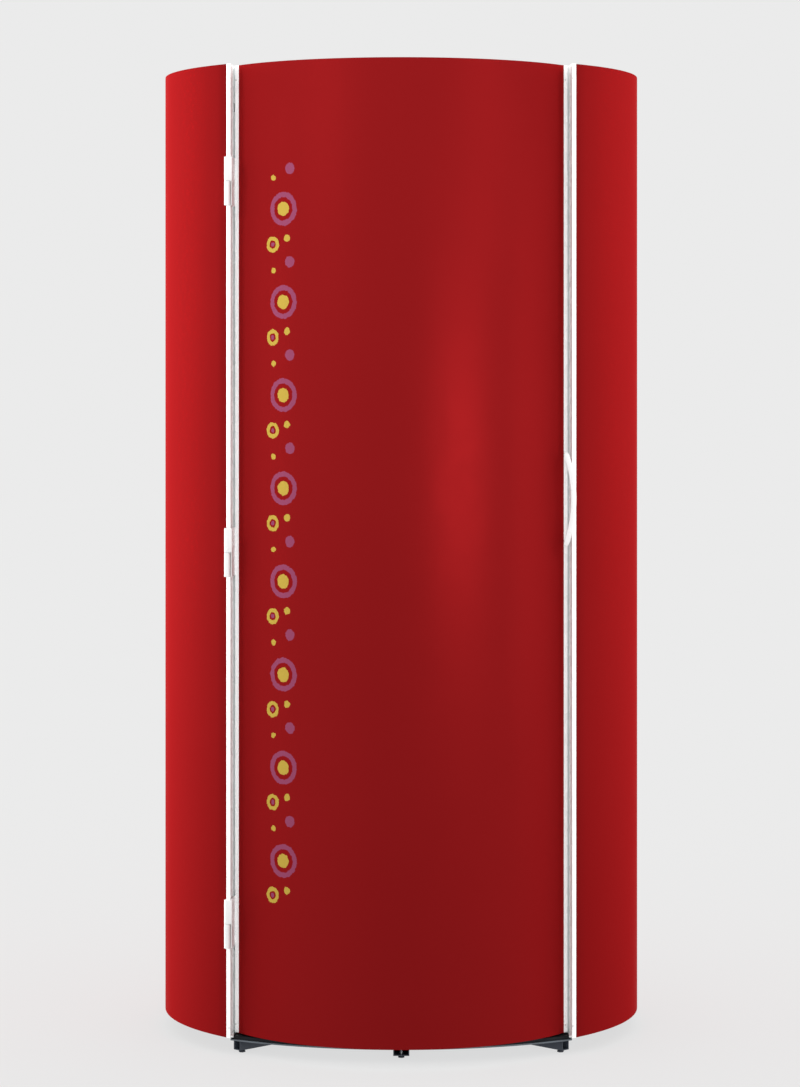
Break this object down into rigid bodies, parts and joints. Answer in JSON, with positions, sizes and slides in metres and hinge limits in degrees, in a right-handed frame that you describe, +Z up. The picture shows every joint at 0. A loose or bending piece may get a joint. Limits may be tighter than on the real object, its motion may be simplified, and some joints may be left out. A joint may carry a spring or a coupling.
{
  "type": "vertical tanning booth",
  "caption": "Round stand-up tanning booth: red casing, curved lamp door on lift-off hinges with a bow handle, lamps behind clear shields, roof fans and a base on levelling feet.",
  "frame": {"origin": "on the floor, at the centre of the round casing", "axes": "+Z up, the door faces -Y, +X to the viewer's right"},
  "size_m": [1.02, 1.0198, 2.042],
  "materials": {
    "red_paint": "semi-gloss",
    "white_paint": "gloss",
    "reflector_sheet": "bright",
    "clear_acrylic": "clear",
    "lamp_glass": "coated",
    "white_plastic": "satin",
    "galvanised_sheet": "satin",
    "frame_paint": "satin",
    "pan_paint": "matt",
    "zinc_steel": "satin",
    "bright_steel": "polished",
    "black_rubber": "matt",
    "black_plastic": "matt",
    "dark_lens": "gloss",
    "green_plastic": "satin",
    "red_plastic": "satin",
    "blue_plastic": "satin"
  },
  "bodies": {
    "casing": {"back_panel": "red_paint", "ballasts": "white_paint", "base_frame": "frame_paint", "base_plate": "galvanised_sheet", "body_hinge_halves": "white_paint", "body_lampholders": "white_plastic", "body_lamps": "lamp_glass", "body_reflector": "reflector_sheet", "body_shield": "clear_acrylic", "cable_gland": "black_plastic", "ceiling_grab_rail": "bright_steel", "ceiling_panel": "white_paint", "contactor_box": "black_plastic", "control_console": "white_plastic", "display_lens": "dark_lens", "fan_frame_left": "black_plastic", "fan_frame_right": "black_plastic", "fan_guards": "zinc_steel", "floor_mat": "black_rubber", "floor_pan": "pan_paint", "gear_tray": "galvanised_sheet", "hinge_pins": "zinc_steel", "hinge_post": "white_paint", "hinge_post_screw": "white_paint", "jamb_seals": "black_rubber", "latch_post": "white_paint", "levelling_feet": "zinc_steel", "lower_lamp_rail": "white_paint", "magnetic_catch": "black_plastic", "rear_post_left": "galvanised_sheet", "rear_post_right": "galvanised_sheet", "roof_panel": "white_paint", "side_panel_left": "red_paint", "side_panel_right": "red_paint", "terminal_block": "white_plastic", "upper_lamp_rail": "white_paint"},
    "door": {"door_bottom_cap": "white_paint", "door_handle": "white_paint", "door_hinge_leaves": "zinc_steel", "door_hinge_stile": "white_paint", "door_lampholders": "white_plastic", "door_lamps": "lamp_glass", "door_latch_stile": "white_paint", "door_lower_lamp_rail": "white_paint", "door_reflector": "reflector_sheet", "door_shield": "clear_acrylic", "door_skin": "red_paint", "door_top_cap": "white_paint", "door_upper_lamp_rail": "white_paint", "inner_grip": "white_paint", "strike_plate": "zinc_steel"},
    "fan_left": {"fan_impeller_left": "black_plastic"},
    "fan_right": {"fan_impeller_right": "black_plastic"},
    "start_button": {"start_button": "green_plastic"},
    "fan_button": {"fan_button": "blue_plastic"},
    "stop_button": {"stop_button": "red_plastic"}
  },
  "joints": [
    {"name": "door_swing", "type": "hinge", "parent": "casing", "child": "door", "pos_m": [-0.358, -0.374, 1], "axis": [0, 0, -1], "range_deg": [0, 120]},
    {"name": "fan_left_spin", "type": "hinge", "parent": "casing", "child": "fan_left", "pos_m": [-0.13, 0.15, 2], "axis": [0, 0, 1], "continuous": true},
    {"name": "fan_right_spin", "type": "hinge", "parent": "casing", "child": "fan_right", "pos_m": [0.13, 0.15, 2], "axis": [0, 0, 1], "continuous": true},
    {"name": "start_press", "type": "slide", "parent": "casing", "child": "start_button", "axis": [0, 1, 0], "range_m": [0, 0.003], "stiffness_N_per_m": 800},
    {"name": "fan_press", "type": "slide", "parent": "casing", "child": "fan_button", "axis": [0, 1, 0], "range_m": [0, 0.003], "stiffness_N_per_m": 800},
    {"name": "stop_press", "type": "slide", "parent": "casing", "child": "stop_button", "axis": [0, 1, 0], "range_m": [0, 0.003], "stiffness_N_per_m": 800}
  ]
}
